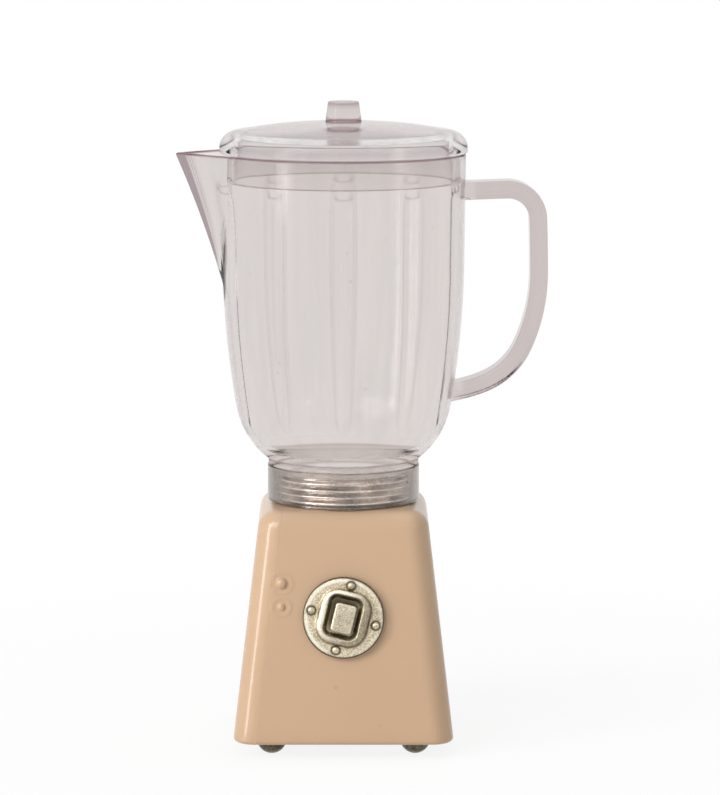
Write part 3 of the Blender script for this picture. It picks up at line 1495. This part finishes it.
@dataclass
class Lid:
    """Clear domed cap with a plug ring, and the knob on it."""

    bottom: float = 73.76
    radius: float = 15.35
    side_top: float = 74.3
    shoulder: float = 2.1
    crown: float = 76.4
    land: float = 77.45
    land_radius: float = 2.5
    wall: float = 1.1
    plug_radius: float = 13.99
    plug_wall: float = 0.9
    plug_bottom: float = 70.1
    knob_foot: float = 2.25
    knob_top: float = 1.9
    knob_height: float = 2.6
    knob_edge: float = 0.4
    gap: float = 0.02
    cap_calm: float = 0.85
    knob_calm: float = 0.5

    def cap(self) -> Skin:
        """Cap turned from one line: under the dome, down and up round the plug ring, out, shoulder, dome.

        Returns:
            The cap's closed surface.
        """
        inner = self.plug_radius - self.plug_wall
        under = Chain((0.0, self.land - self.wall)).line((0.01, self.land - self.wall), 1)
        under = under.bend((inner - 0.35, self.crown - self.wall + 0.02), 22).points()
        ring = softened(
            [
                (inner - 0.35, self.crown - self.wall + 0.02),
                (inner, self.crown - self.wall - 0.3),
                (inner, self.plug_bottom),
                (self.plug_radius, self.plug_bottom),
                (self.plug_radius, self.bottom),
                (self.radius, self.bottom),
                (self.radius, self.side_top),
            ],
            [0.0, 0.2, 0.16, 0.16, 0.08, 0.12, 0.0],
        )
        turn = quarter_turn(18)[1:, None]
        centre = self.radius - self.shoulder
        round_edge = self.shoulder * np.concatenate([np.cos(turn), np.sin(turn)], axis=1)
        shoulder = np.array([centre, self.side_top]) + round_edge
        dome = Chain((self.land_radius, self.land))
        dome.heading = np.array([1.0, 0.0])
        over = dome.bend((centre, self.crown), 24).points()[::-1][1:]
        profile = np.concatenate([under, ring[1:], shoulder, over, [[1.2, self.land], [0.0, self.land]]])
        grid = turned(profile, 288)
        level = grid[..., 2]
        reach = reach_of(grid)
        seam = 0.6 * band(level, self.bottom, 0.1) * (reach > self.radius - 0.3)
        foot = 0.9 * band(reach, self.knob_foot, 0.22) * (level > self.land - 0.2)
        dome_edge = 0.5 * band(reach, centre - 0.25, 0.45) * (level > self.crown - 0.35)
        side = 0.35 * band(level, self.side_top + 0.3, 0.5) * (reach > self.plug_radius + 0.6)
        masks = {
            "seam": np.maximum(seam, foot),
            "joint": 0.5 * (1.0 - ease(self.plug_bottom + 0.03, self.plug_bottom + 0.18, level)),
            "smoke": np.maximum(dome_edge, side),
            "calm": np.full(level.shape, self.cap_calm),
            "clear": 0.35 * (1.0 - ease(self.bottom - 0.4, self.bottom, level)),
        }
        return skin_of(grid, masks)

    def knob(self) -> Skin:
        """Knob: a short cone with a rounded top edge.

        Returns:
            The knob's closed surface.
        """
        foot, top = self.land + self.gap, self.land + self.knob_height
        fall = (self.knob_foot - self.knob_top) / (top - foot)
        levels = [foot + 0.3, foot + 0.45, top - 0.85, top - 0.7, top - 0.6]
        side = [(self.knob_foot - fall * (level - foot), level) for level in levels]
        profile = softened(
            [(0.0, foot), (self.knob_foot, foot), *side, (self.knob_top, top), (0.0, top)],
            [0.0, 0.1, 0.0, 0.0, 0.0, 0.0, 0.0, self.knob_edge, 0.0],
            8,
        )
        grid = turned(profile, 128)
        level = grid[..., 2]
        seam = np.maximum(0.95 * band(level, foot, 0.2), 0.6 * band(level, top - 0.25, 0.12))
        masks = {
            "seam": seam * (reach_of(grid) > 0.8 * self.knob_top),
            "smoke": 0.5 * band(level, top - 0.7, 0.12),
            "calm": np.full(level.shape, self.knob_calm),
        }
        return skin_of(grid, masks)

    def build(self, finishes: Finishes) -> None:
        """Make the cap and the knob."""
        show("lid_dome", self.cap(), finishes.cap, Body.LID, Slot.CLEAR, "lid_cap")
        show("lid_pull", self.knob(), finishes.pull, Body.LID, Slot.CLEAR, "lid_knob")


# The studio


@dataclass(frozen=True)
class Softbox:
    """Soft lamp with its place, aim, size and power."""

    name: str
    place: Point3
    size: Point2
    watts: float
    aim: Point3 = (0.0, 0.0, 0.03)

    def light(self) -> None:
        """Hang the lamp."""
        lamp = bpy.data.lights.new(self.name, "AREA")
        lamp.shape = "RECTANGLE"
        lamp.size, lamp.size_y = self.size
        lamp.energy = self.watts
        holder = bpy.data.objects.new(self.name, lamp)
        holder.location = self.place
        holder.rotation_euler = (Vector(self.aim) - Vector(self.place)).to_track_quat("-Z", "Y").to_euler()
        bpy.context.scene.collection.objects.link(holder)


@dataclass
class Studio:
    """Pale floor, soft lamps, a white surround and the camera."""

    ambient: float = 0.35
    floor_reach: float = 3.0
    floor_colour: Colour = (0.93, 0.93, 0.93)
    floor_share: float = 0.88
    floor_fade: Point2 = (0.035, 0.12)
    camera_place: Point3 = (0.0, -0.4813, 0.1113)
    camera_aim: Point3 = (0.0, 0.0, 0.04313)
    lens: float = 176.6
    shift: Point2 = (0.0208, 0.0)
    lamps: tuple[Softbox, ...] = (
        Softbox("key_softbox", (-0.42, -0.5, 0.46), (0.5, 0.4), 3.15),
        Softbox("left_strip", (-0.5, -0.3, 0.12), (0.12, 0.5), 1.8),
        Softbox("right_fill", (0.5, -0.55, 0.42), (0.12, 0.12), 0.3),
        Softbox("top_softbox", (0.1, 0.1, 0.7), (0.5, 0.5), 1.0),
    )

    @staticmethod
    def seen(tree: Tree) -> bpy.types.NodeSocket:
        """1 for what the camera sees, straight or by reflection or through clear plastic."""
        path = tree.node("ShaderNodeLightPath")
        both = tree.math("MAXIMUM", path.outputs["Is Camera Ray"], path.outputs["Is Glossy Ray"])
        return tree.math("MAXIMUM", both, path.outputs["Is Transmission Ray"])

    def surround(self) -> None:
        """White surround that lights the object at a plain level."""
        world = bpy.data.worlds.new("white_surround")
        world.use_nodes = True
        bpy.context.scene.world = world
        tree = Tree(world.node_tree)
        background = world.node_tree.nodes["Background"]
        tree.feed(background.inputs["Color"], (1.0, 1.0, 1.0))
        tree.feed(background.inputs["Strength"], tree.span(self.seen(tree), 0.0, 1.0, self.ambient, 1.0))

    def ground(self) -> None:
        """Pale floor that shows white and keeps a soft shadow."""
        mesh = bpy.data.meshes.new("pale_floor")
        reach = self.floor_reach
        corners = [(-reach, -reach, 0.0), (reach, -reach, 0.0), (reach, reach, 0.0), (-reach, reach, 0.0)]
        mesh.from_pydata(corners, [], [(0, 1, 2, 3)])
        floor = bpy.data.objects.new("pale_floor", mesh)
        bpy.context.scene.collection.objects.link(floor)
        material, tree, shader = new_material("pale_floor")
        tree.feed(shader.inputs["Base Color"], self.floor_colour)
        tree.feed(shader.inputs["Roughness"], 1.0)
        tree.feed(shader.inputs["Specular IOR Level"], 0.0)
        glow = tree.node("ShaderNodeEmission")
        mixed = tree.node("ShaderNodeMixShader")
        length = tree.node("ShaderNodeVectorMath", operation="LENGTH")
        tree.feed(length.inputs[0], tree.place())
        share = tree.span(length.outputs["Value"], *self.floor_fade, self.floor_share, 1.0)
        tree.feed(mixed.inputs[0], tree.math("MULTIPLY", self.seen(tree), share))
        tree.feed(mixed.inputs[1], shader.outputs[0])
        tree.feed(mixed.inputs[2], glow.outputs[0])
        tree.feed(material.node_tree.nodes["Material Output"].inputs["Surface"], mixed.outputs[0])
        mesh.materials.append(material)

    def camera(self) -> None:
        """Camera a little above the object, looking slightly down."""
        lens = bpy.data.cameras.new("camera")
        lens.lens = self.lens
        lens.shift_x, lens.shift_y = self.shift
        lens.clip_start, lens.clip_end = 0.01, 20.0
        holder = bpy.data.objects.new("camera", lens)
        holder.location = self.camera_place
        aim = Vector(self.camera_aim) - Vector(self.camera_place)
        holder.rotation_euler = aim.to_track_quat("-Z", "Y").to_euler()
        bpy.context.scene.collection.objects.link(holder)
        bpy.context.scene.camera = holder

    def build(self) -> None:
        """Set up the surround, the floor, the lamps and the camera."""
        self.surround()
        self.ground()
        for lamp in self.lamps:
            lamp.light()
        self.camera()
        bpy.context.scene.view_settings.view_transform = "Standard"


def main() -> None:
    """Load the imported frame, build every piece around it and note its size."""
    logging.basicConfig(level=logging.INFO, format="%(message)s")
    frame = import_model()
    finishes = Finishes.make()
    Base().build(finishes, frame["nodes"])
    Dial().build(finishes, frame["nodes"])
    Jar().build(finishes)
    Lid().build(finishes)
    Studio().build()


if __name__ == "__main__":
    main()
